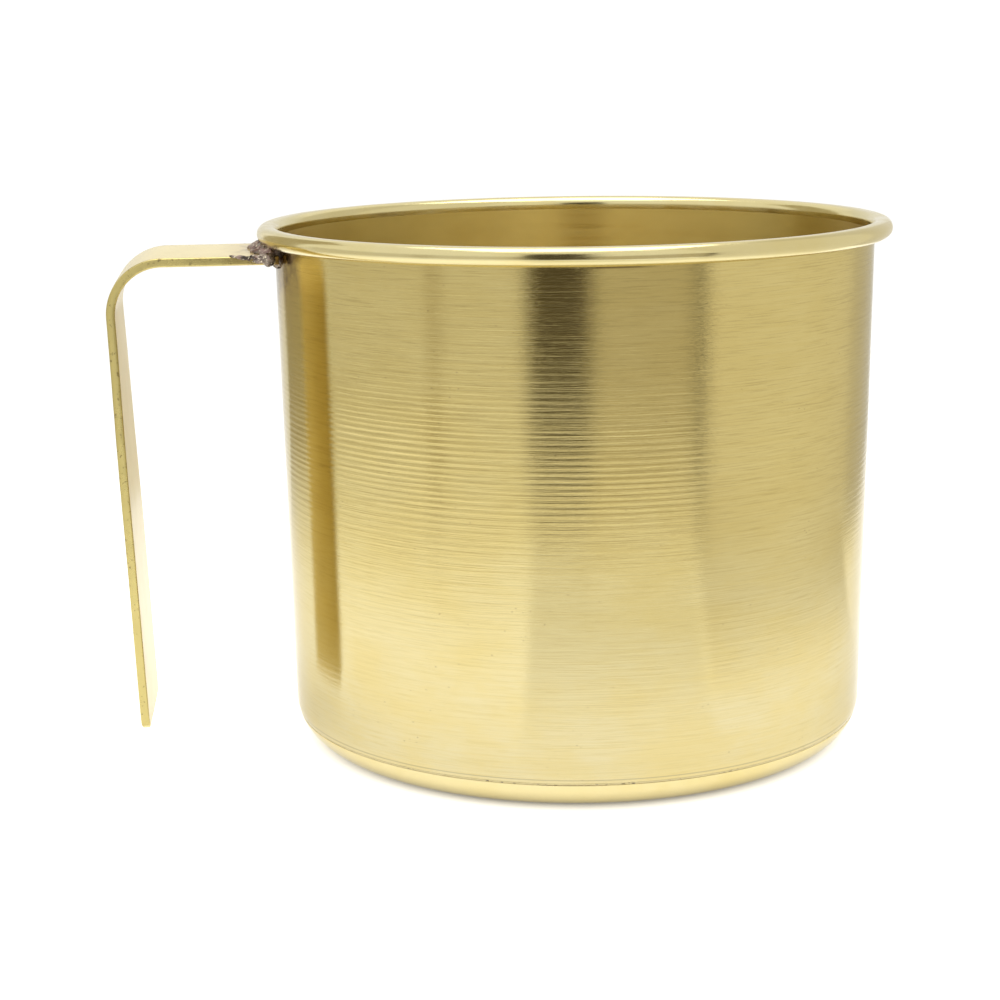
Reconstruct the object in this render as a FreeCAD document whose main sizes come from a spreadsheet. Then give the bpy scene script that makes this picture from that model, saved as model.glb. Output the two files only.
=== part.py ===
import FreeCAD, Part
import math
import os
import Sketcher

# A straight-sided brass water mug: a tapered sheet wall with a wired rolled rim, a pressed
# base brazed on at a seam ring, and one flat strap bent into an open handle and brazed
# under the rim.  Millimetres, +Z up, origin on the axis in the plane the mug stands on,
# handle towards -X.

DIMENSIONS = {
    # mug
    "rim_radius": 65.0,          # outermost radius, over the rolled rim
    "overall_height": 108.0,
    "sheet_gauge": 0.8,
    "wall_top_radius": 61.5,     # outside of the wall just under the rim
    "wall_foot_radius": 60.0,    # outside of the wall where the base corner starts
    # rolled rim
    "curl_radius": 1.8,          # outside radius of the rolled edge
    "curl_tail_angle": 50.0,     # degrees the edge turns in past its lowest point
    "wire_slack": 0.05,          # between the rim wire and the sheet round it
    # base
    "corner_radius": 8.6,
    "recess_radius": 44.0,       # underside recess, leaving a flat resting ring
    "recess_depth": 1.2,
    "recess_slope": 2.4,         # radial width of the recess's sloping side
    "seam_height": 6.1,
    "seam_gap": 0.3,
    "seam_bead_half": 1.2,       # half the height of the filler bead inside the seam
    "seam_bead_radius": 1.5,
    # handle
    "strap_width": 26.0,
    "strap_gauge": 2.0,
    "strap_top": 103.15,         # upper face of the level run
    "strap_reach": 95.8,         # from the axis to the unbent outer corner
    "strap_bend_radius": 11.6,   # outside of the bend
    "strap_lean": 2.14,          # degrees the hanging leg leans in towards the wall
    "strap_foot": 5.8,           # height of the leg's lower end
    "strap_corner_radius": 2.0,
    "strap_edge_radius": 0.45,
    # brazed joint of the handle
    "braze_root_radius": 62.0,   # radius at which the strap's end is cut to the wall
    "braze_sweep": 25.6,         # degrees round the wall that the filler covers
    "braze_toe": 98.7,           # lowest point of the filler on the wall
    "braze_under_reach": 64.4,   # filler under the strap
    "braze_over_reach": 68.6,    # filler on top of the strap
    "braze_crest_radius": 65.2,  # top of the filler, against the rolled rim
    "braze_crest_height": 105.3,
}

SHEET_WORDS = sorted(DIMENSIONS, key=len, reverse=True)

# Derived heights and radii, written as expressions of the sheet's cells.
CURL_HEIGHT = "(overall_height - curl_radius)"
CURL_INNER = "(curl_radius - sheet_gauge)"
CURL_OUTER_CENTRE = "(rim_radius - curl_radius)"
CURL_INNER_CENTRE = "(wall_top_radius - sheet_gauge + curl_radius)"
CORNER_CENTRE = "(wall_foot_radius - corner_radius)"
CORNER_INNER = "(corner_radius - sheet_gauge)"
SEAM_LOW = "(seam_height - seam_gap / 2)"
SEAM_HIGH = "(seam_height + seam_gap / 2)"
BEAD_LOW = "(seam_height - seam_bead_half)"
BEAD_HIGH = "(seam_height + seam_bead_half)"


def corner_x(height, radius):
    """Radius from the axis of the base corner's arc at a height."""
    return f"({CORNER_CENTRE} + sqrt({radius} ^ 2 - (corner_radius - {height}) ^ 2))"


def bound(expression):
    """The same expression with each dimension read from its cell."""
    words = expression
    for number, word in enumerate(SHEET_WORDS):
        words = words.replace(word, f"<{number}>")
    for number, word in enumerate(SHEET_WORDS):
        words = words.replace(f"<{number}>", f"Sizes.{word}")
    return words


def make_sheet(doc):
    sheet = doc.addObject("Spreadsheet::Sheet", "Sizes")
    for row, (word, value) in enumerate(DIMENSIONS.items(), start=1):
        sheet.set(f"A{row}", word)
        sheet.set(f"B{row}", str(value))
        sheet.setAlias(f"B{row}", word)
    doc.recompute()
    return sheet


def make_body(doc, label):
    body = doc.addObject("PartDesign::Body", label)
    body.Label = label
    body.Placement = FreeCAD.Placement()
    return body


def new_sketch(body, name, role="XZ_Plane"):
    plane = next(item for item in body.Origin.OriginFeatures if item.Role == role)
    sketch = body.newObject("Sketcher::SketchObject", name)
    sketch.AttachmentSupport = [(plane, "")]
    sketch.MapMode = "FlatFace"
    return sketch


def draw_outline(sketch, corners):
    """Draw a closed outline through corners (across, up, arc).

    arc is None for a straight run to the next corner, or (radius, turn) for an arc of at
    most half a circle, with turn +1 counter-clockwise and -1 clockwise.  Each coordinate
    and radius is an expression of the sheet's dimensions.
    """
    points = []
    for across, up, _ in corners:
        x = float(sketch.evalExpression(bound(across)))
        y = float(sketch.evalExpression(bound(up)))
        points.append(FreeCAD.Vector(x, y, 0))
    start_of = []
    end_of = []
    for number, (_, _, arc) in enumerate(corners):
        start = points[number]
        end = points[(number + 1) % len(points)]
        if arc is None:
            edge = sketch.addGeometry(Part.LineSegment(start, end), False)
            start_of.append((edge, 1))
            end_of.append((edge, 2))
            continue
        radius = float(sketch.evalExpression(bound(arc[0])))
        chord = end - start
        rise = math.sqrt(radius ** 2 - (chord.Length / 2) ** 2)
        side = FreeCAD.Vector(-chord.y, chord.x, 0).normalize() * (rise * arc[1])
        centre = start + chord / 2 + side
        first, last = (start, end) if arc[1] > 0 else (end, start)
        angles = [math.atan2(point.y - centre.y, point.x - centre.x) for point in (first, last)]
        circle = Part.Circle(centre, FreeCAD.Vector(0, 0, 1), radius)
        edge = sketch.addGeometry(Part.ArcOfCircle(circle, angles[0], angles[1]), False)
        start_of.append((edge, 1 if arc[1] > 0 else 2))
        end_of.append((edge, 2 if arc[1] > 0 else 1))
    for number, (across, up, arc) in enumerate(corners):
        following = start_of[(number + 1) % len(corners)]
        joined = Sketcher.Constraint("Coincident", *end_of[number], *following)
        sketch.addConstraint(joined)
        hold_point(sketch, start_of[number], across, up, points[number])
        if arc is not None:
            radius = float(sketch.evalExpression(bound(arc[0])))
            edge = start_of[number][0]
            index = sketch.addConstraint(Sketcher.Constraint("Radius", edge, radius))
            sketch.setExpression(f"Constraints[{index}]", bound(arc[0]))


def hold_point(sketch, place, across, up, point):
    """Hold a drawn corner at its two expressions."""
    edge, end = place
    rows = (("DistanceX", -2, across, point.x), ("DistanceY", -1, up, point.y))
    for kind, axis, expression, value in rows:
        if abs(value) < 1e-9:
            sketch.addConstraint(Sketcher.Constraint("PointOnObject", edge, end, axis))
            continue
        if value > 0:
            constraint = Sketcher.Constraint(kind, -1, 1, edge, end, value)
            formula = expression
        else:
            constraint = Sketcher.Constraint(kind, edge, end, -1, 1, -value)
            formula = f"-({expression})"
        index = sketch.addConstraint(constraint)
        sketch.setExpression(f"Constraints[{index}]", bound(formula))


def revolve(body, sketch, name, sweep=None):
    turned = body.newObject("PartDesign::Revolution", name)
    turned.Profile = sketch
    turned.ReferenceAxis = (sketch, ["V_Axis"])
    turned.Angle = 360
    if sweep is not None:
        turned.Midplane = True
        turned.setExpression("Angle", bound(sweep))
    return turned


def make_wall(doc):
    """Tapered sheet wall whose top edge is rolled outwards over the rim wire."""
    body = make_body(doc, "body_wall")
    sketch = new_sketch(body, "wall_section")
    tail_in = f"{CURL_INNER} * sin(curl_tail_angle)", f"{CURL_INNER} * cos(curl_tail_angle)"
    tail_out = "curl_radius * sin(curl_tail_angle)", "curl_radius * cos(curl_tail_angle)"
    inside = (CURL_INNER, -1)
    outside = ("curl_radius", 1)
    draw_outline(sketch, [
        (corner_x(SEAM_HIGH, "corner_radius"), SEAM_HIGH, ("corner_radius", 1)),
        ("wall_foot_radius", "corner_radius", None),
        ("wall_top_radius", CURL_HEIGHT, inside),
        (CURL_INNER_CENTRE, f"{CURL_HEIGHT} + {CURL_INNER}", None),
        (CURL_OUTER_CENTRE, f"{CURL_HEIGHT} + {CURL_INNER}", inside),
        (f"{CURL_OUTER_CENTRE} + {CURL_INNER}", CURL_HEIGHT, inside),
        (CURL_OUTER_CENTRE, f"{CURL_HEIGHT} - {CURL_INNER}", inside),
        (f"{CURL_OUTER_CENTRE} - {tail_in[0]}", f"{CURL_HEIGHT} - {tail_in[1]}", None),
        (f"{CURL_OUTER_CENTRE} - {tail_out[0]}", f"{CURL_HEIGHT} - {tail_out[1]}", outside),
        (CURL_OUTER_CENTRE, f"{CURL_HEIGHT} - curl_radius", outside),
        ("rim_radius", CURL_HEIGHT, outside),
        (CURL_OUTER_CENTRE, "overall_height", None),
        (CURL_INNER_CENTRE, "overall_height", outside),
        ("wall_top_radius - sheet_gauge", CURL_HEIGHT, None),
        ("wall_foot_radius - sheet_gauge", "corner_radius", (CORNER_INNER, -1)),
        (corner_x(SEAM_HIGH, CORNER_INNER), SEAM_HIGH, None),
    ])
    revolve(body, sketch, "wall_turned")
    return body


def make_wire(doc):
    """Round wire that the rim is rolled over."""
    wire = doc.addObject("Part::Torus", "rim_wire")
    wire.Label = "rim_wire"
    wire.setExpression("Radius1", bound(CURL_OUTER_CENTRE))
    wire.setExpression("Radius2", bound(f"{CURL_INNER} - wire_slack"))
    wire.setExpression("Placement.Base.z", bound(CURL_HEIGHT))
    return wire


def make_base(doc):
    """Pressed base with a rounded corner, standing on a flat ring round a shallow recess."""
    body = make_body(doc, "base_cup")
    sketch = new_sketch(body, "base_section")
    draw_outline(sketch, [
        ("0", "recess_depth", None),
        ("recess_radius - recess_slope", "recess_depth", None),
        ("recess_radius", "0", None),
        (CORNER_CENTRE, "0", ("corner_radius", 1)),
        (corner_x(SEAM_LOW, "corner_radius"), SEAM_LOW, None),
        (corner_x(SEAM_LOW, CORNER_INNER), SEAM_LOW, (CORNER_INNER, -1)),
        (CORNER_CENTRE, "sheet_gauge", None),
        ("recess_radius", "sheet_gauge", None),
        ("recess_radius - recess_slope", "recess_depth + sheet_gauge", None),
        ("0", "recess_depth + sheet_gauge", None),
    ])
    revolve(body, sketch, "base_turned")
    return body


def make_seam(doc):
    """Ring of filler in the gap between wall and base, with a low bead on the inside."""
    body = make_body(doc, "base_braze_ring")
    sketch = new_sketch(body, "seam_section")
    draw_outline(sketch, [
        (corner_x(SEAM_LOW, "corner_radius"), SEAM_LOW, ("corner_radius", 1)),
        (corner_x(SEAM_HIGH, "corner_radius"), SEAM_HIGH, None),
        (corner_x(SEAM_HIGH, CORNER_INNER), SEAM_HIGH, (CORNER_INNER, 1)),
        (corner_x(BEAD_HIGH, CORNER_INNER), BEAD_HIGH, ("seam_bead_radius", 1)),
        (corner_x(BEAD_LOW, CORNER_INNER), BEAD_LOW, (CORNER_INNER, 1)),
        (corner_x(SEAM_LOW, CORNER_INNER), SEAM_LOW, None),
    ])
    revolve(body, sketch, "seam_turned")
    return body


def edge_names(shape, wanted):
    return [f"Edge{number}" for number, edge in enumerate(shape.Edges, start=1) if wanted(edge)]


def make_strap(doc):
    """Flat bar: level under the rim, bent down, and left open at its lower end."""
    body = make_body(doc, "handle_strap")
    sketch = new_sketch(body, "strap_side")
    turn = "(90 + strap_lean)"
    bend_x = f"(strap_bend_radius * tan({turn} / 2) - strap_reach)"
    bend_z = "(strap_top - strap_bend_radius)"
    inner_bend = "(strap_bend_radius - strap_gauge)"
    foot_x = "((strap_top - strap_foot) * tan(strap_lean) - strap_reach)"
    inner_foot_x = f"({foot_x} + strap_gauge * cos(strap_lean))"
    inner_foot_z = "(strap_foot + strap_gauge * sin(strap_lean))"
    root = "(strap_gauge - braze_root_radius)"
    draw_outline(sketch, [
        (root, "strap_top", None),
        (bend_x, "strap_top", ("strap_bend_radius", 1)),
        (f"{bend_x} - strap_bend_radius * cos(strap_lean)",
         f"{bend_z} - strap_bend_radius * sin(strap_lean)", None),
        (foot_x, "strap_foot", None),
        (inner_foot_x, inner_foot_z, None),
        (f"{bend_x} - {inner_bend} * cos(strap_lean)",
         f"{bend_z} - {inner_bend} * sin(strap_lean)", (inner_bend, -1)),
        (bend_x, "strap_top - strap_gauge", None),
        (root, "strap_top - strap_gauge", None),
    ])
    pad = body.newObject("PartDesign::Pad", "strap_bar")
    pad.Profile = sketch
    pad.Midplane = True
    pad.setExpression("Length", bound("strap_width"))
    doc.recompute()

    gauge = DIMENSIONS["strap_gauge"]
    foot_limit = DIMENSIONS["strap_foot"] + gauge
    side = DIMENSIONS["strap_width"] / 2
    corners = body.newObject("PartDesign::Fillet", "strap_corners")
    corners.Base = (pad, edge_names(
        pad.Shape,
        lambda edge: edge.BoundBox.ZMax < foot_limit and edge.BoundBox.YLength < side,
    ))
    corners.setExpression("Radius", bound("strap_corner_radius"))
    doc.recompute()

    edges = body.newObject("PartDesign::Fillet", "strap_edges")
    edges.Base = (corners, edge_names(
        corners.Shape,
        lambda edge: edge.BoundBox.YLength < gauge and edge.Length > 3 * gauge,
    ))
    edges.setExpression("Radius", bound("strap_edge_radius"))
    doc.recompute()

    end_sketch = new_sketch(body, "wall_clearance")
    draw_outline(end_sketch, [
        ("0", "strap_top - strap_bend_radius", None),
        ("braze_root_radius", "strap_top - strap_bend_radius", None),
        ("braze_root_radius", "overall_height", None),
        ("0", "overall_height", None),
    ])
    trimmed = body.newObject("PartDesign::Groove", "strap_end")
    trimmed.Profile = end_sketch
    trimmed.ReferenceAxis = (end_sketch, ["V_Axis"])
    trimmed.Angle = 360
    doc.recompute()
    if trimmed.Shape.Volume > edges.Shape.Volume - gauge:
        raise RuntimeError("the strap's end was not cut to the wall")
    return body


def make_handle_braze(doc, wall, strap):
    """Filler that fills the corner between wall, rolled rim and strap end."""
    lump = make_body(doc, "filler_lump")
    sketch = new_sketch(lump, "filler_section")
    draw_outline(sketch, [
        ("sheet_gauge - wall_top_radius", "braze_toe", None),
        ("sheet_gauge - wall_top_radius", "braze_crest_height - sheet_gauge", None),
        ("-braze_crest_radius", "braze_crest_height", None),
        ("-braze_over_reach", "strap_top", None),
        ("-braze_over_reach", "strap_top - strap_gauge / 2", None),
        ("-braze_under_reach", "strap_top - strap_gauge", None),
        ("-wall_top_radius", "braze_toe", None),
    ])
    revolve(lump, sketch, "filler_turned", sweep="braze_sweep")
    neighbours = doc.addObject("Part::MultiFuse", "filler_neighbours")
    neighbours.Shapes = [wall, strap]
    filler = doc.addObject("Part::Cut", "handle_braze")
    filler.Label = "handle_braze"
    filler.Base = lump
    filler.Tool = neighbours
    filler.Placement = FreeCAD.Placement()
    return filler


def check_document(doc, parts):
    for item in doc.Objects:
        if "Invalid" in item.State or "Error" in item.State:
            raise RuntimeError(f"{item.Name} did not compute: {item.State}")
    for part in parts:
        shape = part.Shape
        if shape.isNull() or not shape.isValid():
            raise RuntimeError(f"{part.Label} has no valid shape")
        if len(shape.Solids) != 1:
            raise RuntimeError(f"{part.Label} has {len(shape.Solids)} solids")


def main():
    doc = FreeCAD.newDocument("water_mug")
    make_sheet(doc)
    wall = make_wall(doc)
    wire = make_wire(doc)
    base = make_base(doc)
    seam = make_seam(doc)
    strap = make_strap(doc)
    doc.recompute()
    braze = make_handle_braze(doc, wall, strap)
    doc.recompute()
    parts = [wall, wire, base, seam, strap, braze]
    check_document(doc, parts)
    os.makedirs("parts", exist_ok=True)
    for part in parts:
        part.Shape.exportStep(f"parts/{part.Label}.step")
        box = part.Shape.optimalBoundingBox()
        size = f"{box.XLength:.2f} x {box.YLength:.2f} x {box.ZLength:.2f}"
        print(f"{part.Label}: {part.Shape.Volume:.1f} mm3, {size}")


main()
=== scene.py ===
import math

import bmesh
import bpy
from mathutils import Matrix, Vector, noise


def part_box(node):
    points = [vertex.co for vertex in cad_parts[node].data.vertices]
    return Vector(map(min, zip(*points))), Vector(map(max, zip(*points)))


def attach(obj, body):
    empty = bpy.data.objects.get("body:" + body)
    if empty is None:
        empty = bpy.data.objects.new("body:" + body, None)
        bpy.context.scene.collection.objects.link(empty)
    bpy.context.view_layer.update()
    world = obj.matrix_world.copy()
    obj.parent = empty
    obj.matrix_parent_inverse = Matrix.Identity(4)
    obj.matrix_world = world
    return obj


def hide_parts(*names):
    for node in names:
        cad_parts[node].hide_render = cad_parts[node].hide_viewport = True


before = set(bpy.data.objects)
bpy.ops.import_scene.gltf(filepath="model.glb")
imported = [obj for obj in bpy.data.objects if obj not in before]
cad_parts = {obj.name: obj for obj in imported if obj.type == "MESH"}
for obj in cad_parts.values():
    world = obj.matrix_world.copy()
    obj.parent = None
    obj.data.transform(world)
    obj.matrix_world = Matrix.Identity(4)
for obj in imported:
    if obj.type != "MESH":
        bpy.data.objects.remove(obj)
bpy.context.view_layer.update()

# ---------------------------------------------------------------- sizes, in metres
MM = 0.001

wall_low, wall_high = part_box("body_wall")
wire_low, wire_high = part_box("rim_wire")
_, base_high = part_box("base_cup")
strap_low, strap_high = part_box("handle_strap")

RIM_RADIUS = min(wall_high.x, wall_high.y)
RIM_TOP = wall_high.z
CURL_HEIGHT = (wire_low.z + wire_high.z) / 2
CURL_RADIUS = RIM_TOP - CURL_HEIGHT
CURL_CENTRE = RIM_RADIUS - CURL_RADIUS
GAUGE = 0.8 * MM
WALL_TOP = 61.5 * MM
WALL_FOOT = 60.0 * MM
CORNER = 8.6 * MM
CORNER_CENTRE = WALL_FOOT - CORNER
SEAM_TOP = wall_low.z
SEAM_BOTTOM = base_high.z
RECESS_RADIUS = 44.0 * MM
RECESS_SLOPE = 2.4 * MM
RECESS_FLAT = RECESS_RADIUS - RECESS_SLOPE
RECESS_DEPTH = 1.2 * MM

STRAP_HALF_WIDTH = (strap_high.y - strap_low.y) / 2
STRAP_GAUGE = 2.0 * MM
STRAP_TOP = strap_high.z
STRAP_FOOT = strap_low.z
STRAP_REACH = 95.8 * MM
STRAP_BEND = 11.6 * MM
STRAP_LEAN = math.radians(2.14)
STRAP_ROOT = 62.0 * MM
STRAP_TIP_ROUND = 0.85 * MM     # rounding of the leg's end, through its thickness
STRAP_CORNER = 2.0 * MM         # rounding of the leg's end, across its width
STRAP_ARRIS = 0.30 * MM         # rounding along the bar's long edges
STRAP_CROWN = 0.06 * MM         # rise of each face's middle over its sides
STRAP_SIDE_TRIM = 0.05 * MM     # room left inside the CAD bar for fraying
STRAP_FACE_TRIM = 0.06 * MM
ROOT_CURVE_RUN = 22 * MM        # length over which the root takes the wall's curve

SHEET_EDGE = 0.10 * MM          # bevel on the sheet's edges at the seam
RING_PITCH = 1.5 * MM           # spun rings under the base
RING_DEPTH = 0.018 * MM
CENTRE_MARK = 0.25 * MM         # depth of the spinning centre under the base
PAINTED_SHADE_LINE_HEIGHT = 104.3 * MM       # painted shade: dark line just under the rim's bead, where the bead shades the wall
SCRIBED_HEIGHT = SEAM_TOP + 0.75 * MM


# ---------------------------------------------------------------- small helpers
def smooth_step(value):
    value = min(max(value, 0.0), 1.0)
    return value * value * (3 - 2 * value)


def arc_points(centre, radius, start, end, steps):
    """Points on an arc in the (radius, height) plane, angles in degrees, both ends in."""
    points = []
    for step in range(steps + 1):
        angle = math.radians(start + (end - start) * step / steps)
        points.append((centre[0] + radius * math.cos(angle), centre[1] + radius * math.sin(angle)))
    return points


def line_points(start, end, spacing):
    """Points on a straight run, without its last end."""
    length = math.hypot(end[0] - start[0], end[1] - start[1])
    steps = max(1, round(length / spacing))
    points = []
    for step in range(steps):
        part = step / steps
        points.append((start[0] + (end[0] - start[0]) * part, start[1] + (end[1] - start[1]) * part))
    return points


def finished(points, finish):
    """Section rows of (radius, height, finish number) from points."""
    return [(*point, finish) for point in points]


def joined(low, high):
    """Four-cornered faces between two closed rings of vertices."""
    count = len(low)
    faces = []
    for number in range(count):
        following = (number + 1) % count
        faces.append([low[number], low[following], high[following], high[number]])
    return faces


def new_piece(name, vertices, faces, material_numbers=None):
    mesh = bpy.data.meshes.new(name)
    mesh.from_pydata(vertices, [], faces)
    mesh.validate()
    if material_numbers is not None:
        mesh.polygons.foreach_set("material_index", material_numbers)
    work = bmesh.new()
    work.from_mesh(mesh)
    bmesh.ops.recalc_face_normals(work, faces=work.faces)
    work.to_mesh(mesh)
    work.free()
    mesh.polygons.foreach_set("use_smooth", [True] * len(mesh.polygons))
    piece = bpy.data.objects.new(name, mesh)
    bpy.context.scene.collection.objects.link(piece)
    return piece


ON_AXIS = 1e-7


def turned(name, section, columns, relief=None, closed=True):
    """Turn a section of (radius, height, finish number) rows about the axis.

    A closed section joins its last row to its first; a row on the axis is one vertex.
    relief(angle, radius, height, finish) gives the surface's offset (out, up).
    """
    vertices = []
    rows = []
    for radius, height, finish in section:
        if radius < ON_AXIS:
            rows.append([len(vertices)] * columns)
            vertices.append((0.0, 0.0, height))
            continue
        row = []
        for column in range(columns):
            angle = 2 * math.pi * column / columns
            out, up = relief(angle, radius, height, finish) if relief else (0.0, 0.0)
            row.append(len(vertices))
            across = radius + out
            vertices.append((across * math.cos(angle), across * math.sin(angle), height + up))
        rows.append(row)
    faces = []
    finishes = []
    pairs = len(section) if closed else len(section) - 1
    for number in range(pairs):
        for corners in joined(rows[number], rows[(number + 1) % len(section)]):
            faces.append(list(dict.fromkeys(corners)))
            finishes.append(section[number][2])
    return new_piece(name, vertices, faces, finishes)


# ---------------------------------------------------------------- node materials
class Nodes:
    """Short names for building one material's node tree."""

    def __init__(self, name):
        self.material = bpy.data.materials.new(name)
        self.material.use_nodes = True
        self.tree = self.material.node_tree
        self.tree.nodes.clear()
        self.output = self.tree.nodes.new("ShaderNodeOutputMaterial")
        self.place = self.tree.nodes.new("ShaderNodeTexCoord").outputs["Object"]

    def link(self, source, socket):
        self.tree.links.new(source, socket)

    def new(self, kind, **settings):
        node = self.tree.nodes.new(kind)
        for key, value in settings.items():
            setattr(node, key, value)
        return node

    def scaled(self, scale):
        node = self.new("ShaderNodeMapping")
        node.inputs["Scale"].default_value = scale
        self.link(self.place, node.inputs["Vector"])
        return node.outputs["Vector"]

    def noise(self, scale, detail=3.0, roughness=0.55, distortion=0.0):
        node = self.new("ShaderNodeTexNoise")
        node.inputs["Scale"].default_value = 1.0
        node.inputs["Detail"].default_value = detail
        node.inputs["Roughness"].default_value = roughness
        node.inputs["Distortion"].default_value = distortion
        self.link(self.scaled(scale), node.inputs["Vector"])
        return node.outputs["Fac"]

    def noise_along(self, value, scale):
        """Noise that varies with one value only."""
        node = self.new("ShaderNodeTexNoise", noise_dimensions="1D")
        node.inputs["Scale"].default_value = scale
        node.inputs["Detail"].default_value = 4.0
        self.link(value, node.inputs["W"])
        return node.outputs["Fac"]

    def cells(self, scale):
        node = self.new("ShaderNodeTexVoronoi")
        node.inputs["Scale"].default_value = 1.0
        self.link(self.scaled(scale), node.inputs["Vector"])
        return node.outputs["Distance"]

    def span(self, value, low, high, to_low=0.0, to_high=1.0):
        node = self.new("ShaderNodeMapRange", interpolation_type="SMOOTHSTEP")
        node.inputs["From Min"].default_value = low
        node.inputs["From Max"].default_value = high
        node.inputs["To Min"].default_value = to_low
        node.inputs["To Max"].default_value = to_high
        self.link(value, node.inputs["Value"])
        return node.outputs["Result"]

    def maths(self, operation, first, second):
        node = self.new("ShaderNodeMath", operation=operation)
        for socket, value in zip(node.inputs, (first, second)):
            if isinstance(value, (int, float)):
                socket.default_value = value
            else:
                self.link(value, socket)
        return node.outputs["Value"]

    def height(self):
        node = self.new("ShaderNodeSeparateXYZ")
        self.link(self.place, node.inputs[0])
        return node.outputs["Z"]

    def gap_to_height(self, level):
        """Distance above or below a level."""
        return self.maths("ABSOLUTE", self.maths("SUBTRACT", self.height(), level), 0.0)

    def side(self):
        """Distance from the upright plane down the middle of the handle."""
        node = self.new("ShaderNodeSeparateXYZ")
        self.link(self.place, node.inputs[0])
        return self.maths("ABSOLUTE", node.outputs["Y"], 0.0)

    def distance_to(self, point, squeeze=(1, 1, 1)):
        node = self.new("ShaderNodeVectorMath", operation="DISTANCE")
        self.link(self.scaled(squeeze), node.inputs[0])
        node.inputs[1].default_value = point
        return node.outputs["Value"]

    def mixed(self, factor, first, second):
        node = self.new("ShaderNodeMix", data_type="RGBA")
        sockets = [s for s in node.inputs if s.type == "RGBA"]
        self.link(factor, node.inputs["Factor"])
        for socket, value in zip(sockets, (first, second)):
            if isinstance(value, tuple):
                socket.default_value = (*value, 1.0)
            else:
                self.link(value, socket)
        return next(s for s in node.outputs if s.type == "RGBA")

    def bump(self, value, depth, under=None):
        node = self.new("ShaderNodeBump")
        node.inputs["Strength"].default_value = 1.0
        node.inputs["Distance"].default_value = depth
        self.link(value, node.inputs["Height"])
        if under is not None:
            self.link(under, node.inputs["Normal"])
        return node.outputs["Normal"]

    def metal(self, colour, roughness, normal=None, anisotropic=0.0, metallic=1.0, coat=0.0, edge=1.0):
        """The surface: colour, roughness and normal are sockets, the rest plain numbers.

        edge is how much the metal still reflects at a grazing angle.
        """
        shader = self.new("ShaderNodeBsdfPrincipled")
        shader.inputs["Metallic"].default_value = metallic
        shader.inputs["Specular Tint"].default_value = (edge, edge * 0.98, edge * 0.92, 1.0)
        self.link(colour, shader.inputs["Base Color"])
        self.link(roughness, shader.inputs["Roughness"])
        if normal is not None:
            self.link(normal, shader.inputs["Normal"])
        if coat:
            shader.inputs["Coat Weight"].default_value = coat
            shader.inputs["Coat Roughness"].default_value = 0.12
        if anisotropic:
            shader.inputs["Anisotropic"].default_value = anisotropic
            shader.inputs["Anisotropic Rotation"].default_value = 0.25
            tangent = self.new("ShaderNodeTangent", direction_type="RADIAL", axis="Z")
            self.link(tangent.outputs["Tangent"], shader.inputs["Tangent"])
        self.link(shader.outputs["BSDF"], self.output.inputs["Surface"])
        return self.material


BRASS = (0.62, 0.515, 0.225)
BRASS_DEEP = (0.56, 0.445, 0.165)
# BRASS_PALE is a painted reflection: the washed-out tone of brass reflecting the bright floor, used low
# on the wall.
BRASS_PALE = (0.555, 0.49, 0.29)
JOINT = (-62.5 * MM, 0.0, 102.0 * MM)


def heat_tint(nodes, colour, reach):
    """Brown scale that brazing leaves on brass close to the handle's joint."""
    ragged = nodes.span(nodes.noise((300, 300, 300), 5.0, 0.6), 0.3, 0.7, -1.5 * MM, 1.5 * MM)
    distance = nodes.maths("ADD", nodes.distance_to(JOINT, squeeze=(1, 0.4, 1)), ragged)
    mottle = nodes.span(nodes.noise((700, 700, 700), 4.0, 0.6), 0.3, 0.65, 0.25, 0.8)
    burnt = nodes.maths("MULTIPLY", nodes.span(distance, reach + 2.5 * MM, reach - 1 * MM), mottle)
    halo = nodes.span(distance, reach + 8 * MM, reach, 0.0, 0.4)
    tinted = nodes.mixed(halo, colour, (0.50, 0.35, 0.15))
    return nodes.mixed(burnt, tinted, (0.20, 0.13, 0.09))


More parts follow.
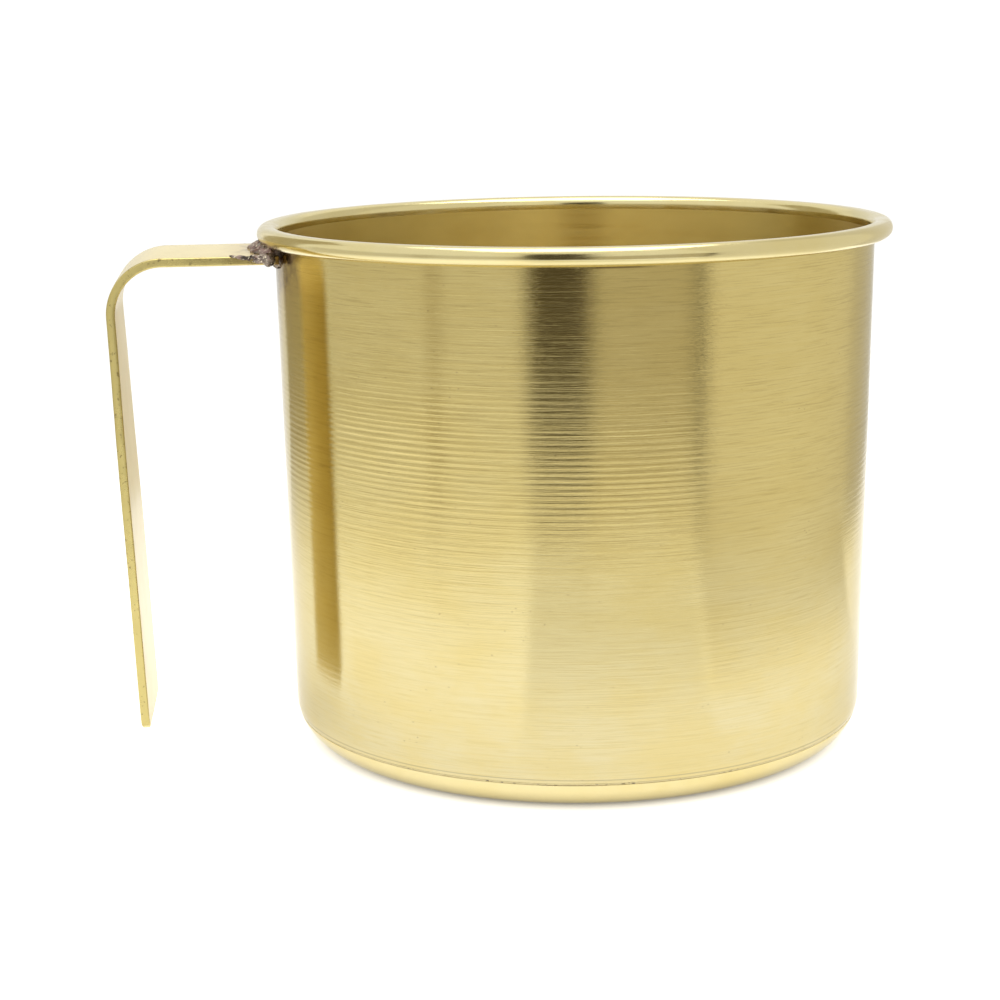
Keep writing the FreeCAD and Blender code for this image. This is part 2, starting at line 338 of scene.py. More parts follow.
def turned_brass():
    """Wall outside: hairline turning marks, tarnish, pits, a painted shade line under the bead, a scribed
    line, and a painted reflection that makes it paler towards the bottom.
    """
    nodes = Nodes("turned_brass")
    cloud = nodes.span(nodes.noise((45, 45, 70), 4.0, 0.6), 0.35, 0.7)
    # Painted reflection: the wall turns paler towards the bottom, standing in for the washed-out
    # reflection of the bright floor.
    painted_floor_washout = nodes.span(nodes.height(), 70 * MM, 8 * MM)
    colour = nodes.mixed(painted_floor_washout, BRASS, BRASS_PALE)
    colour = nodes.mixed(nodes.maths("MULTIPLY", cloud, 0.5), colour, BRASS_DEEP)
    scored = nodes.span(nodes.height(), 25 * MM, 75 * MM, 0.5, 1.0)
    streak = nodes.noise((45, 45, 3400), 4.0, 0.6)
    faint = nodes.maths("MULTIPLY", nodes.span(streak, 0.35, 0.75, 0.0, 0.5), scored)
    colour = nodes.mixed(faint, colour, BRASS_DEEP)
    hairs = nodes.noise((120, 120, 3900), 4.0, 0.65)
    fine = nodes.maths("MULTIPLY", nodes.span(hairs, 0.48, 0.70, 0.0, 0.6), scored)
    colour = nodes.mixed(fine, colour, (0.44, 0.35, 0.14))
    cells = nodes.cells((520, 520, 620))
    place = nodes.span(nodes.noise((70, 70, 90), 3.0), 0.5, 0.62)
    pits = nodes.maths("MULTIPLY", nodes.span(cells, 0.13, 0.05), place)
    colour = nodes.mixed(nodes.maths("MULTIPLY", pits, 0.4), colour, (0.20, 0.13, 0.06))
    # Painted shade: a broken dark line just under the bead, where the bead shades the wall.
    line = nodes.span(nodes.gap_to_height(PAINTED_SHADE_LINE_HEIGHT), 0.55 * MM, 0.2 * MM)
    broken = nodes.span(nodes.noise((55, 55, 20), 2.0), 0.52, 0.60, 0.0, 0.85)
    colour = nodes.mixed(nodes.maths("MULTIPLY", line, broken), colour, (0.16, 0.10, 0.03))
    scribed = nodes.span(nodes.gap_to_height(SCRIBED_HEIGHT), 0.16 * MM, 0.04 * MM, 0.0, 0.45)
    colour = nodes.mixed(scribed, colour, (0.20, 0.17, 0.11))
    colour = heat_tint(nodes, colour, reach=8 * MM)
    roughness = nodes.span(streak, 0.3, 0.7, 0.11, 0.15)
    normal = nodes.bump(nodes.maths("MULTIPLY", streak, scored), 0.027 * MM)
    normal = nodes.bump(nodes.maths("MULTIPLY", hairs, scored), 0.022 * MM, under=normal)
    grain = nodes.noise((1100, 1100, 2200), 2.0)
    normal = nodes.bump(grain, 0.0048 * MM, under=normal)
    return nodes.metal(colour, roughness, normal, anisotropic=0.9, edge=0.77)


def bright_brass():
    """Rim: polished, with faint rubbing and small dull patches."""
    nodes = Nodes("bright_brass")
    cloud = nodes.span(nodes.noise((60, 60, 60), 4.0, 0.6), 0.4, 0.75, 0.0, 0.6)
    colour = nodes.mixed(cloud, (0.64, 0.56, 0.30), BRASS)
    colour = heat_tint(nodes, colour, reach=0.5 * MM)
    rub = nodes.noise((160, 160, 1400), 4.0, 0.6)
    roughness = nodes.span(rub, 0.3, 0.75, 0.12, 0.24)
    normal = nodes.bump(rub, 0.003 * MM)
    return nodes.metal(colour, roughness, normal)


def inside_brass():
    """Inside of the wall and floor: brushed round, a little duller than the outside."""
    nodes = Nodes("inside_brass")
    cloud = nodes.span(nodes.noise((35, 35, 50), 4.0, 0.6), 0.35, 0.7)
    colour = nodes.mixed(cloud, (0.64, 0.495, 0.155), (0.58, 0.435, 0.125))
    streak = nodes.noise((30, 30, 1800), 4.0, 0.6)
    roughness = nodes.span(streak, 0.3, 0.7, 0.30, 0.40)
    normal = nodes.bump(streak, 0.010 * MM)
    return nodes.metal(colour, roughness, normal, anisotropic=0.9)


def underneath(nodes):
    """1 at the resting face, about a third in the recess, 0 higher up the corner."""
    return nodes.span(nodes.height(), 1.6 * MM, 0.6 * MM)


def base_brass():
    """Base: spun rings underneath, polished corner."""
    nodes = Nodes("base_brass")
    cloud = nodes.span(nodes.noise((50, 50, 50), 4.0, 0.6), 0.4, 0.75, 0.0, 0.7)
    colour = nodes.mixed(cloud, (0.66, 0.57, 0.31), BRASS)
    from_axis = nodes.distance_to((0, 0, 0), squeeze=(1, 1, 0))
    spun = nodes.span(nodes.noise_along(from_axis, 1500), 0.42, 0.68, 0.0, 0.55)
    spun = nodes.maths("MULTIPLY", spun, underneath(nodes))
    colour = nodes.mixed(spun, colour, (0.40, 0.33, 0.16))
    rub = nodes.noise((220, 220, 900), 5.0, 0.65)
    roughness = nodes.span(rub, 0.3, 0.75, 0.11, 0.20)
    normal = nodes.bump(rub, 0.004 * MM)
    return nodes.metal(colour, roughness, normal, edge=0.8)


def strap_brass():
    """Bar: satin faces brushed along its length and painted paler as a painted reflection of the bright
    backdrop, and gold file-finished edges painted darker as painted shade, with dark spots that are
    partly notches and partly painted dark reflections.
    """
    nodes = Nodes("strap_brass")
    cloud = nodes.span(nodes.noise((80, 80, 80), 4.0, 0.6), 0.4, 0.75, 0.0, 0.6)
    # Painted light: the broad faces are painted paler as the bright backdrop they reflect, and the edges
    # darker gold as painted shade; the split also follows the satin and file-finished surfaces.
    face = nodes.mixed(cloud, (0.88, 0.75, 0.38), (0.80, 0.67, 0.31))
    # The dark spots on the edges are partly notches and partly painted dark reflections.
    notches_and_painted_dark_reflections = nodes.span(nodes.noise((1300, 60, 1300), 3.0, 0.6), 0.60, 0.70, 0.0, 0.8)
    edge = nodes.mixed(notches_and_painted_dark_reflections, (0.52, 0.43, 0.155), (0.20, 0.15, 0.05))
    # Mask of the edges: it sets both their smoother finish and their painted shade.
    filed_edge_and_painted_shade = nodes.span(nodes.side(), STRAP_HALF_WIDTH - 0.7 * MM, STRAP_HALF_WIDTH - 0.3 * MM)
    colour = nodes.mixed(filed_edge_and_painted_shade, face, edge)
    colour = heat_tint(nodes, colour, reach=4 * MM)
    brushed = nodes.noise((120, 3200, 120), 4.0, 0.6)
    satin = nodes.span(brushed, 0.3, 0.75, 0.44, 0.54)
    roughness = nodes.maths("SUBTRACT", satin, nodes.maths("MULTIPLY", filed_edge_and_painted_shade, 0.2))
    normal = nodes.bump(brushed, 0.003 * MM)
    return nodes.metal(colour, roughness, normal, coat=0.55, edge=0.66)


def seam_filler():
    """Yellowish filler line, dressed nearly flush, with grey pits."""
    nodes = Nodes("seam_filler")
    cells = nodes.cells((700, 700, 1500))
    patchy = nodes.span(nodes.noise((110, 110, 110), 3.0), 0.45, 0.6)
    pits = nodes.maths("MULTIPLY", nodes.span(cells, 0.30, 0.16), patchy)
    colour = nodes.mixed(pits, (0.48, 0.41, 0.23), (0.27, 0.23, 0.16))
    roughness = nodes.span(pits, 0.0, 1.0, 0.26, 0.7)
    normal = nodes.bump(pits, -0.08 * MM)
    return nodes.metal(colour, roughness, normal)


def handle_filler():
    """As-brazed filler: dark scale with purple and red bloom and bright broken specks."""
    nodes = Nodes("handle_filler")
    broad = nodes.noise((420, 420, 420), 5.0, 0.65)
    colour = nodes.mixed(nodes.span(broad, 0.35, 0.65), (0.050, 0.038, 0.034), (0.33, 0.27, 0.23))
    bloom = nodes.span(nodes.noise((300, 260, 340), 3.0, 0.5, 1.0), 0.52, 0.7, 0.0, 0.5)
    colour = nodes.mixed(bloom, colour, (0.34, 0.20, 0.19))
    specks = nodes.span(nodes.noise((2100, 2100, 2100), 3.0, 0.6), 0.58, 0.68)
    colour = nodes.mixed(specks, colour, (0.80, 0.72, 0.55))
    roughness = nodes.span(broad, 0.3, 0.7, 0.55, 0.38)
    normal = nodes.bump(nodes.noise((1700, 1700, 1700), 5.0, 0.7), 0.16 * MM)
    return nodes.metal(colour, roughness, normal, metallic=0.75)


def wire_iron():
    """Drawn iron wire sealed in the rim."""
    nodes = Nodes("wire_iron")
    drawn = nodes.noise((240, 240, 2400), 4.0, 0.6)
    colour = nodes.mixed(drawn, (0.16, 0.15, 0.14), (0.34, 0.31, 0.28))
    roughness = nodes.span(drawn, 0.3, 0.7, 0.40, 0.62)
    normal = nodes.bump(drawn, 0.02 * MM)
    return nodes.metal(colour, roughness, normal)


# ---------------------------------------------------------------- wall and rim
CHATTER_PITCH = 1.17 * MM
CHATTER_DEPTH = 0.026 * MM
CHATTER_BELT = 70 * MM          # height where the chatter is deepest
CHATTER_SPREAD = 14 * MM
WAVE_DEPTH = 0.030 * MM
RIPPLE_DEPTH = 0.012 * MM
ROW_SPACING = 0.30 * MM
COLUMNS = 256
SEAM_COLUMNS = 720
OUTSIDE, BRIGHT, INSIDE = 0, 1, 2


def wall_relief(angle, radius, height, finish):
    """Turning chatter and the gentle waves of hand-worked sheet, on the outside only."""
    if finish != OUTSIDE:
        return 0.0, 0.0
    x = radius * math.cos(angle)
    y = radius * math.sin(angle)
    above_seam = smooth_step((height - 11 * MM) / (6 * MM))
    inside_ends = above_seam * smooth_step((CURL_HEIGHT - height) / (4 * MM))
    level = height + 0.35 * MM * math.sin(angle + 0.6) + 0.12 * MM * math.sin(3 * angle)
    wander = 0.9 * noise.noise(Vector((level / (9 * MM), 0.3, 0.7)))
    ring = math.sin(2 * math.pi * (level / CHATTER_PITCH + wander))
    belt = math.exp(-(((height - CHATTER_BELT) / CHATTER_SPREAD) ** 2))
    patch = 0.75 + 0.9 * noise.noise(Vector((x * 38, y * 38, height * 70)))
    chatter = CHATTER_DEPTH * (0.12 + 0.95 * belt) * max(patch, 0.1) * ring
    waves = WAVE_DEPTH * noise.noise(Vector((x * 22, y * 22, height * 20)))
    waves += RIPPLE_DEPTH * noise.noise(Vector((x * 60, y * 60, height * 90)))
    return (chatter + waves) * inside_ends, 0.0


def corner_angle(height, radius):
    """Angle on the base corner's arc, in degrees, at a height."""
    return math.degrees(math.asin((height - CORNER) / radius))


def make_wall():
    taper = math.degrees(math.atan((WALL_TOP - WALL_FOOT) / (CURL_HEIGHT - CORNER)))
    inner_curl = CURL_RADIUS - GAUGE
    flat_start = WALL_TOP - GAUGE + CURL_RADIUS
    corner = (CORNER_CENTRE, CORNER)
    low = corner_angle(SEAM_TOP + SHEET_EDGE, CORNER)
    rows = finished(arc_points(corner, CORNER, low, -taper, 6), OUTSIDE)
    foot = rows.pop()
    rows += finished(line_points(foot[:2], (WALL_TOP, CURL_HEIGHT), ROW_SPACING), OUTSIDE)
    rows += finished(arc_points((flat_start, CURL_HEIGHT), inner_curl, 180, 90, 4), BRIGHT)
    rows += finished(arc_points((CURL_CENTRE, CURL_HEIGHT), inner_curl, 90, -144, 10), BRIGHT)
    rows += finished(arc_points((CURL_CENTRE, CURL_HEIGHT), CURL_RADIUS, -146, 90, 26), BRIGHT)
    rows += finished(arc_points((flat_start, CURL_HEIGHT), CURL_RADIUS, 90, 180, 9), BRIGHT)
    inner_top = (WALL_TOP - GAUGE, CURL_HEIGHT - 1.0 * MM)
    inner_foot = (WALL_FOOT - GAUGE, CORNER)
    rows += finished(line_points(inner_top, inner_foot, 3.5 * MM), INSIDE)
    inner_low = corner_angle(SEAM_TOP + SHEET_EDGE, CORNER - GAUGE)
    rows += finished(arc_points(corner, CORNER - GAUGE, 0, inner_low, 4), INSIDE)
    inner_low_point = rows[-1]
    outer_low_point = rows[0]
    rows.append((inner_low_point[0] + SHEET_EDGE, SEAM_TOP, INSIDE))
    rows.append((outer_low_point[0] - SHEET_EDGE, SEAM_TOP, OUTSIDE))
    piece = turned("mug_wall", rows, COLUMNS, wall_relief)
    for material in (turned_brass(), bright_brass(), inside_brass()):
        piece.data.materials.append(material)
    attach(piece, "root")
    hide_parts("body_wall")


# ---------------------------------------------------------------- base and seam
def base_relief(angle, radius, height, finish):
    """Spun rings under the base and a centre mark, kept above the resting plane."""
    if finish != OUTSIDE or radius > RECESS_FLAT:
        return 0.0, 0.0
    uneven = 0.8 * math.sin(radius / (5 * MM))
    ring = 0.5 + 0.5 * math.sin(2 * math.pi * radius / RING_PITCH + uneven)
    centre = CENTRE_MARK * smooth_step(1 - radius / (2.5 * MM))
    return 0.0, RING_DEPTH * ring + centre


def recess_slope(start, end, offset):
    """Points between the recess's flat and the resting face."""
    steps = 8
    points = []
    for step in range(steps + 1):
        radius = start + (end - start) * step / steps
        rise = RECESS_DEPTH * smooth_step((RECESS_RADIUS - radius) / RECESS_SLOPE)
        points.append((radius, rise + offset))
    return points


def make_base():
    corner = (CORNER_CENTRE, CORNER)
    inside_flat = RECESS_DEPTH + GAUGE
    rows = finished(line_points((0.0, inside_flat), (RECESS_FLAT, inside_flat), 1.5 * MM), INSIDE)
    rows += finished(recess_slope(RECESS_FLAT, RECESS_RADIUS, GAUGE), INSIDE)
    resting_inner = (RECESS_RADIUS + 1 * MM, GAUGE)
    rows += finished(line_points(resting_inner, (CORNER_CENTRE, GAUGE), 1.5 * MM), INSIDE)
    inner_high = corner_angle(SEAM_BOTTOM - SHEET_EDGE, CORNER - GAUGE)
    rows += finished(arc_points(corner, CORNER - GAUGE, -90, inner_high, 14), INSIDE)
    rows.append((rows[-1][0] + SHEET_EDGE, SEAM_BOTTOM, INSIDE))
    outer_high = corner_angle(SEAM_BOTTOM - SHEET_EDGE, CORNER)
    outer = arc_points(corner, CORNER, outer_high, -90, 22)
    rows.append((outer[0][0] - SHEET_EDGE, SEAM_BOTTOM, OUTSIDE))
    rows += finished(outer, OUTSIDE)
    resting_outer = (CORNER_CENTRE - 0.5 * MM, 0.0)
    rows += finished(line_points(resting_outer, (RECESS_RADIUS, 0.0), 1.5 * MM), OUTSIDE)
    rows += finished(recess_slope(RECESS_RADIUS, RECESS_FLAT, 0.0), OUTSIDE)
    flat_edge = (RECESS_FLAT - 0.3 * MM, RECESS_DEPTH)
    rows += finished(line_points(flat_edge, (0.0, RECESS_DEPTH), 0.3 * MM), OUTSIDE)
    rows.append((0.0, RECESS_DEPTH + CENTRE_MARK, OUTSIDE))
    piece = turned("mug_base", rows, COLUMNS, base_relief, closed=False)
    # in the order of the finish numbers; no face of the base has the middle one
    piece.data.materials.append(base_brass())
    for name in ("bright_brass", "inside_brass"):
        piece.data.materials.append(bpy.data.materials[name])
    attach(piece, "root")
    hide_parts("base_cup")


def seam_relief(angle, radius, height, finish):
    """Uneven filler: pitted and a little low outside, lumpy on the bead inside."""
    x = radius * math.cos(angle)
    y = radius * math.sin(angle)
    rough = noise.noise(Vector((x * 700, y * 700, height * 700)))
    if finish == OUTSIDE:
        return -0.05 * MM - 0.06 * MM * max(0.0, rough), 0.0
    lumps = noise.noise(Vector((x * 160, y * 160, height * 160)))
    return 0.12 * MM * lumps + 0.05 * MM * rough, 0.0


def make_seam():
    corner = (CORNER_CENTRE, CORNER)
    inner = CORNER - GAUGE
    seam_low, seam_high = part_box("base_braze_ring")
    outer_low = corner_angle(SEAM_BOTTOM, CORNER)
    outer_high = corner_angle(SEAM_TOP, CORNER)
    rows = finished(arc_points(corner, CORNER, outer_low, outer_high, 2), OUTSIDE)
    bead_high = corner_angle(seam_high.z, inner)
    bead_low = corner_angle(seam_low.z, inner)
    steps = 8
    for step, (radius, height) in enumerate(arc_points(corner, inner, bead_high, bead_low, steps)):
        swell = 0.6 * MM * math.sin(math.pi * step / steps)
        rows.append((radius - swell, height, INSIDE))
    piece = turned("seam_braze", rows, SEAM_COLUMNS, seam_relief)
    material = seam_filler()
    for _ in range(3):
        piece.data.materials.append(material)
    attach(piece, "root")
    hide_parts("base_braze_ring")


# ---------------------------------------------------------------- handle strap
def strap_line():
    """Stations down the strap's middle: (point, outward direction, length still to go)."""
    middle_bend = STRAP_BEND - STRAP_GAUGE / 2
    turn = math.pi / 2 + STRAP_LEAN
    bend_x = STRAP_BEND * math.tan(turn / 2) - STRAP_REACH
    bend_z = STRAP_TOP - STRAP_BEND
    start = Vector((-STRAP_ROOT, 0, STRAP_TOP - STRAP_GAUGE / 2))
    bend_start = Vector((bend_x, 0, STRAP_TOP - STRAP_GAUGE / 2))
    places = []
    level_steps = 22
    for step in range(level_steps):
        places.append((start.lerp(bend_start, step / level_steps), Vector((0, 0, 1))))
    bend_steps = 28
    for step in range(bend_steps + 1):
        angle = math.pi / 2 + turn * step / bend_steps
        out = Vector((math.cos(angle), 0, math.sin(angle)))
        places.append((Vector((bend_x, 0, bend_z)) + out * middle_bend, out))
    leg_start, out = places[-1]
    down = Vector((math.sin(STRAP_LEAN), 0, -math.cos(STRAP_LEAN)))
    leg = (leg_start.z - STRAP_FOOT) / math.cos(STRAP_LEAN)
    leg_steps = 110
    for step in range(1, leg_steps + 1):
        # stations crowd together towards the rounded foot
        part = math.sin(math.pi / 2 * step / leg_steps)
        places.append((leg_start + down * leg * part, out))
    stations = []
    to_go = 0.0
    for number in range(len(places) - 1, -1, -1):
        if number < len(places) - 1:
            to_go += (places[number + 1][0] - places[number][0]).length
        stations.append((*places[number], to_go))
    return stations[::-1]


def strap_section(half_width, half_gauge, edge):
    """Ring of (across, through) points: flat faces with rounded edges."""
    ring = []
    face_steps = 22
    edge_steps = 4
    for side in (1, -1):
        for step in range(1, face_steps):
            across = side * (half_width - edge) * (1 - 2 * step / face_steps)
            ring.append((across, side * half_gauge))
        for corner in (0, 1):
            centre = (-side * (half_width - edge), side * (half_gauge - edge) * (1 - 2 * corner))
            for step in range(edge_steps + 1):
                angle = math.radians(90 + 90 * (corner + step / edge_steps))
                ring.append((
                    centre[0] + side * edge * math.cos(angle),
                    centre[1] + side * edge * math.sin(angle),
                ))
    return ring


def rounded(radius, to_go):
    """How much a rounded end has drawn in, at a length from its tip."""
    if to_go >= radius:
        return 0.0
    return radius - math.sqrt(radius ** 2 - (radius - to_go) ** 2)


def make_strap():
    vertices = []
    rings = []
    across_axis = Vector((0, 1, 0))
    for place, out, to_go in strap_line():
        narrow = rounded(STRAP_CORNER, to_go)
        thin = rounded(STRAP_TIP_ROUND, to_go)
        half_width = STRAP_HALF_WIDTH - STRAP_SIDE_TRIM - narrow
        half_gauge = STRAP_GAUGE / 2 - STRAP_FACE_TRIM - thin
        edge = max(STRAP_ARRIS - thin, 0.02 * MM)
        # the bar is dressed by hand, so it twists and waves slightly
        twist = 0.026 * smooth_step((to_go - 40 * MM) / (60 * MM)) - 0.014
        wave = 0.06 * MM * noise.noise(Vector((to_go / (28 * MM), 0.2, 0.5)))
        ring = []
        for across, through in strap_section(half_width, half_gauge, edge):
            level = Vector((across * 240, to_go * 240, through * 240))
            fray = 0.035 * MM * noise.noise(level)
            on_edge = smooth_step((abs(across) - half_width + 1.2 * MM) / (1.0 * MM))
            nick = 0.05 * MM * on_edge * min(0.0, noise.noise(level * 4))
            face = 1 if through > 0 else -1
            crown = STRAP_CROWN * (1 - (across / half_width) ** 2) * face
            lift = through + wave + twist * across * (1 - math.exp(-to_go / MM)) + 0.4 * fray
            if abs(through) > 0.5 * half_gauge:
                lift += crown - STRAP_CROWN * face
            side = across * (1 + (fray + nick) / half_width * on_edge)
            point = place + across_axis * side + out * lift
            if place.x > -STRAP_ROOT - ROOT_CURVE_RUN and out.z > 0.999:
                # the root follows the wall's curve
                share = (place.x + STRAP_ROOT + ROOT_CURVE_RUN) / ROOT_CURVE_RUN
                reach = STRAP_ROOT - math.sqrt(STRAP_ROOT ** 2 - side ** 2)
                point.x += max(share, 0.0) * reach
            ring.append(len(vertices))
            vertices.append(point)
        rings.append(ring)
    faces = []
    for low, high in zip(rings, rings[1:]):
        faces.extend(joined(low, high))
    for ring in (rings[0], rings[-1]):
        faces.extend(capped(ring, vertices))
    piece = new_piece("handle_bar", vertices, faces)
    piece.data.materials.append(strap_brass())
    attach(piece, "root")
    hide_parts("handle_strap")


def capped(ring, vertices):
    """Close a ring of a flat bar with strips that join its two faces."""
    count = len(ring)
    faces = []
    ahead = min(range(count), key=lambda number: vertices[ring[number]].y)
    behind = ahead
    left = count
    while left > 1:
        next_ahead = (ahead + 1) % count
        next_behind = (behind - 1) % count
        face = [ring[ahead], ring[next_ahead], ring[next_behind], ring[behind]]
        face = list(dict.fromkeys(face))
        if len(face) > 2:
            faces.append(face)
        ahead = next_ahead
        behind = next_behind
        left -= 2
    return faces


# ---------------------------------------------------------------- handle filler
CORE_SWEEP = 12.6               # half the core's length round the mug, in degrees
DROP_SWEEP = 12.0
FRONT_SHORTER = 1.7
DROPS = 46
EDGE_DROPS = 18
MELT_SIZE = 0.24 * MM


def filler_angle(part, sweep):
    """Bearing round the mug for part -1 to 1 of the filler, which ends sooner at the front."""
    return math.pi + math.radians(sweep - (FRONT_SHORTER if part > 0 else 0.0)) * part


def filler_core():
    """Body of filler in the corner between wall, rim and strap, as a bmesh."""
    work = bmesh.new()
    steps = 48
    # section at the handle's middle: (radius, height) in millimetres
    outline = (
        (61.0, 99.9), (61.8, 99.9), (62.7, 100.9), (64.2, 101.6),
        (66.3, 102.6), (66.6, 103.3), (65.7, 103.9), (64.9, 104.5), (64.4, 104.9), (61.0, 104.9),
    )
    rings = []
    for step in range(steps + 1):
        part = 2 * step / steps - 1
        angle = filler_angle(part, CORE_SWEEP)
        shrink = math.sqrt(max(0.0, 1 - abs(part) ** 6)) * 0.85 + 0.15
        ragged = 1 + 0.30 * noise.noise(Vector((step * 0.33, 4.1, 0.7)))
        ring = []
        for radius, height in outline:
            reach = 61.3 + (radius - 61.3) * shrink * (ragged if radius > 62.5 else 1)
            level = 102.6 + (height - 102.6) * (0.35 + 0.65 * shrink)
            ring.append(work.verts.new((
                reach * MM * math.cos(angle), reach * MM * math.sin(angle), level * MM,
            )))
        rings.append(ring)
    for low, high in zip(rings, rings[1:]):
        for corners in joined(low, high):
            work.faces.new(corners)
    work.faces.new(rings[0][::-1])
    work.faces.new(rings[-1])
    return work


def make_filler():
    work = filler_core()
    # drops and beads left by the brazing rod
    for number in range(DROPS):
        part = 2 * (number + 0.5) / DROPS - 1
        angle = filler_angle(part, DROP_SWEEP)
        spread = noise.noise(Vector((number * 1.7, 0.4, 9.2)))
        radius = (64.4 + 2.6 * spread) * MM
        lift = 0.5 * noise.noise(Vector((number * 2.3, 5.5, 1.1)))
        height = (103.5 - 0.38 * (radius / MM - 64.4) + lift) * MM
        if number % 3 == 0:
            # every third drop sits lower, against the wall
            radius = (62.8 + 1.0 * spread) * MM
            height = (101.5 + 0.7 * spread) * MM
        size = (0.68 + 0.45 * noise.noise(Vector((number * 3.1, 2.2, 7.7)))) * MM
        place = Matrix.Translation((radius * math.cos(angle), radius * math.sin(angle), height))
        bmesh.ops.create_icosphere(work, subdivisions=2, radius=size, matrix=place)
    # filler that ran out along the bar's two edges, thinning away from the mug
    for side in (-1, 1):
        for number in range(EDGE_DROPS):
            part = number / (EDGE_DROPS - 1)
            jitter = noise.noise(Vector((number * 1.9, side * 3.3, 6.1)))
            size = (1.35 - 1.10 * part ** 0.55 + 0.15 * jitter) * MM
            place = Matrix.Translation((
                (-62.8 - (7.6 if side < 0 else 5.0) * part) * MM,
                side * (STRAP_HALF_WIDTH - 0.25 * MM),
                (102.0 + 0.95 * part + 0.2 * jitter) * MM,
            ))
            bmesh.ops.create_icosphere(work, subdivisions=2, radius=size, matrix=place)
    mesh = bpy.data.meshes.new("filler_rough")
    work.to_mesh(mesh)
    work.free()
    rough = bpy.data.objects.new("filler_rough", mesh)
    bpy.context.scene.collection.objects.link(rough)
    remesh = rough.modifiers.new("melt", "REMESH")
    remesh.mode = "VOXEL"
    remesh.voxel_size = MELT_SIZE
    bpy.context.view_layer.update()
    graph = bpy.context.evaluated_depsgraph_get()
    melted = bpy.data.meshes.new_from_object(rough.evaluated_get(graph))
    bpy.data.objects.remove(rough)
    for vertex in melted.vertices:
        place = vertex.co
        lumps = 0.34 * MM * noise.noise(place * 620)
        grit = 0.16 * MM * noise.noise(place * 1500)
        hollow = noise.noise(place * 900 + Vector((3, 1, 2)))
        holes = -0.45 * MM * smooth_step((hollow - 0.28) / 0.2)
        vertex.co = place + vertex.normal * (lumps + grit + holes)
    melted.polygons.foreach_set("use_smooth", [True] * len(melted.polygons))
    piece = bpy.data.objects.new("handle_filler", melted)
    bpy.context.scene.collection.objects.link(piece)
    melted.materials.clear()
    melted.materials.append(handle_filler())
    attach(piece, "root")
    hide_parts("handle_braze")


# ---------------------------------------------------------------- studio
CAMERA_PLACE = Vector((-58.4, -443.6, 144.4)) * MM
CAMERA_PAN = math.radians(5.46)      # towards +X of the +Y direction
CAMERA_TILT = math.radians(12.08)    # below the horizon
CAMERA_ROLL = math.radians(-0.82)
CAMERA_LENS = 77.6
SENSOR_WIDTH = 36.0
FLOOR_HEIGHT = -0.05 * MM
PANEL_FOOT = 4 * MM             # gaps that keep panels and skirts off the floor
SKIRT_EDGE = 2 * MM


def make_camera():
    data = bpy.data.cameras.new("camera")
    data.lens = CAMERA_LENS
    data.sensor_width = SENSOR_WIDTH
    data.clip_start = 0.01
    camera = bpy.data.objects.new("camera", data)
    ahead = Vector((
        math.sin(CAMERA_PAN) * math.cos(CAMERA_TILT),
        math.cos(CAMERA_PAN) * math.cos(CAMERA_TILT),
        -math.sin(CAMERA_TILT),
    ))
    right = Vector((math.cos(CAMERA_PAN), -math.sin(CAMERA_PAN), 0))
    up = right.cross(ahead)
    turned_right = right * math.cos(CAMERA_ROLL) + up * math.sin(CAMERA_ROLL)
    turned_up = up * math.cos(CAMERA_ROLL) - right * math.sin(CAMERA_ROLL)
    axes = Matrix((turned_right, turned_up, -ahead)).transposed()
    camera.matrix_world = Matrix.Translation(CAMERA_PLACE) @ axes.to_4x4()
    bpy.context.scene.collection.objects.link(camera)
    bpy.context.scene.camera = camera


def make_floor():
    """Plain white table that glows softly near the mug."""
    section = [(radius, FLOOR_HEIGHT, 0) for radius in (0.0, 0.1, 0.2, 0.4, 0.8, 1.6, 3.2, 6.0)]
    floor = turned("studio_floor", section, 128, closed=False)
    floor.data.flip_normals()
    nodes = Nodes("studio_white")
    away = nodes.distance_to((0, 0, 0))
    near = nodes.span(away, 0.07, 0.42, 0.60, 0.14)
    # Painted light: a ring of extra glow round the base washes out the mug's contact shadow.
    ring = nodes.maths("ADD", near, nodes.span(away, 0.085, 0.062, 0.0, 0.15))
    # Painted shade: the glow is cut to a tenth under the base.
    glow = nodes.maths("MULTIPLY", ring, nodes.span(away, 0.051, 0.0595, 0.1, 1.0))
    shader = nodes.new("ShaderNodeBsdfPrincipled")
    grain = nodes.noise((30, 30, 30), 3.0)
    nodes.link(nodes.mixed(grain, (0.80, 0.80, 0.80), (0.78, 0.78, 0.78)), shader.inputs["Base Color"])
    shader.inputs["Roughness"].default_value = 0.9
    shader.inputs["Specular IOR Level"].default_value = 0.0
    shader.inputs["Emission Color"].default_value = (1.0, 1.0, 1.0, 1.0)
    nodes.link(glow, shader.inputs["Emission Strength"])
    nodes.link(shader.outputs["BSDF"], nodes.output.inputs["Surface"])
    floor.data.materials.append(nodes.material)


def overhead_light(name, height, size, power):
    """Square softbox over the mug's axis, facing down."""
    data = bpy.data.lights.new(name, "AREA")
    data.shape = "SQUARE"
    data.size = size
    data.energy = power
    light = bpy.data.objects.new(name, data)
    light.location = (0.0, 0.0, height)
    bpy.context.scene.collection.objects.link(light)


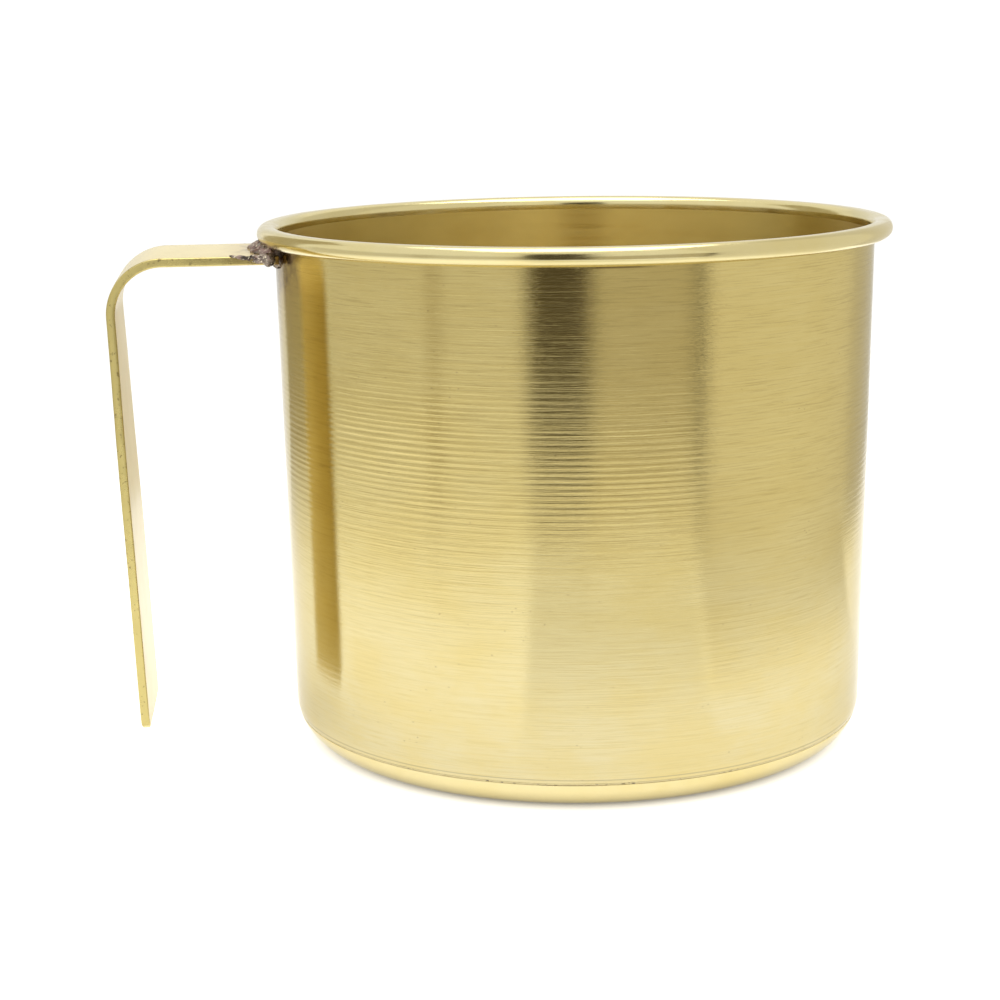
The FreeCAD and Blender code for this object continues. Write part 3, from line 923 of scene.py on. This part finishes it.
def reflector(name, points, colour, skirt=None, rise=None, height=0.5):
    """Upright studio panel that only reflections see.

    points are floor positions (right, towards) from the mug's axis as the camera sees it.
    skirt is the distance from the axis where a skirt along the floor starts to fade in.
    rise is the height over which the panel itself fades in.
    """
    view = math.atan2(CAMERA_PLACE.y, CAMERA_PLACE.x)
    towards = Vector((math.cos(view), math.sin(view), 0))
    right = Vector((-towards.y, towards.x, 0))
    vertices = []
    rows = 3 if skirt else 2
    for across, ahead in points:
        foot = right * across + towards * ahead
        if skirt:
            vertices.append(foot * (skirt / foot.length) + Vector((0, 0, SKIRT_EDGE)))
        vertices.append(foot + Vector((0, 0, PANEL_FOOT)))
        vertices.append(foot + Vector((0, 0, height)))
    faces = []
    for number in range(len(points) - 1):
        for row in range(rows - 1):
            corner = number * rows + row
            faces.append([corner, corner + 1, corner + rows + 1, corner + rows])
    panel = new_piece(name, vertices, faces)
    nodes = Nodes(name)
    glow = nodes.new("ShaderNodeEmission")
    glow.inputs["Color"].default_value = (*colour, 1.0)
    surface = glow.outputs["Emission"]
    solid = None
    if rise:
        solid = nodes.span(nodes.height(), 0.0, rise)
    elif skirt:
        solid = nodes.span(nodes.distance_to((0, 0, 0)), skirt, math.hypot(*points[0]))
    if solid:
        clear = nodes.new("ShaderNodeBsdfTransparent")
        blend = nodes.new("ShaderNodeMixShader")
        nodes.link(solid, blend.inputs["Fac"])
        nodes.link(clear.outputs["BSDF"], blend.inputs[1])
        nodes.link(surface, blend.inputs[2])
        surface = blend.outputs["Shader"]
    nodes.link(surface, nodes.output.inputs["Surface"])
    panel.data.materials.append(nodes.material)
    panel.visible_camera = False
    panel.visible_shadow = False
    panel.visible_diffuse = False


def arc_of(start, end, distance):
    """Points round the mug between two bearings in degrees from the camera's, right positive."""
    steps = max(1, round(abs(end - start) / 5))
    points = []
    for step in range(steps + 1):
        bearing = math.radians(start + (end - start) * step / steps)
        points.append((distance * math.sin(bearing), distance * math.cos(bearing)))
    return points


def make_lights():
    overhead_light("overhead_softbox", height=0.60, size=0.45, power=1.6)
    world = bpy.data.worlds.new("studio_air")
    world.use_nodes = True
    sky = world.node_tree.nodes["Background"]
    sky.inputs["Color"].default_value = (1.0, 0.99, 0.96, 1.0)
    sky.inputs["Strength"].default_value = 1.15
    bpy.context.scene.world = world
    bpy.context.scene.view_settings.view_transform = "Standard"
    reflector("camera_and_stand", arc_of(-14.6, 5.4, 0.21), (0.11, 0.094, 0.068), rise=0.062, height=0.24)
    reflector("stand_foot", arc_of(-14.6, 5.4, 0.205), (1.10, 1.08, 1.0), skirt=0.07, height=0.005)
    reflector("left_front_panel", arc_of(-100, -15.8, 0.46), (0.86, 0.84, 0.78), skirt=0.14, height=0.19)
    reflector("left_stand", arc_of(-53, -46, 0.44), (0.70, 0.66, 0.56), skirt=0.24, height=0.19)
    reflector("right_front_panel", arc_of(5.4, 39.5, 0.20), (0.68, 0.64, 0.54), rise=0.045, height=0.13)
    reflector("right_front_foot", arc_of(5.4, 39.5, 0.195), (1.12, 1.10, 1.02), skirt=0.07, height=0.005)
    reflector("panel_edge", arc_of(39.0, 41.4, 0.194), (0.02, 0.016, 0.01), rise=0.050, height=0.12)
    reflector("left_back_panel", arc_of(-140, -108, 0.46), (0.58, 0.52, 0.36), skirt=0.14)
    right_board = [(0.131, 0.152), (0.153, 0.075), (0.176, 0.003), (0.184, -0.080)]
    reflector("right_board", right_board, (1.0, 0.97, 0.89), skirt=0.085)
    back_board = [(0.184, -0.080), (0.172, -0.145), (0.16, -0.35)]
    reflector("right_back_board", back_board, (0.84, 0.81, 0.74))
    reflector("back_left_board", arc_of(-190, -158, 0.30), (0.84, 0.78, 0.68), skirt=0.10, height=0.09)
    reflector("back_panel", arc_of(150, 210, 0.9), (0.95, 0.95, 0.93), skirt=0.6)


# ---------------------------------------------------------------- assembly
make_wall()
make_base()
make_seam()
make_strap()
make_filler()
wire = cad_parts["rim_wire"]
wire.data.materials.clear()
wire.data.materials.append(wire_iron())
make_camera()
make_floor()
make_lights()
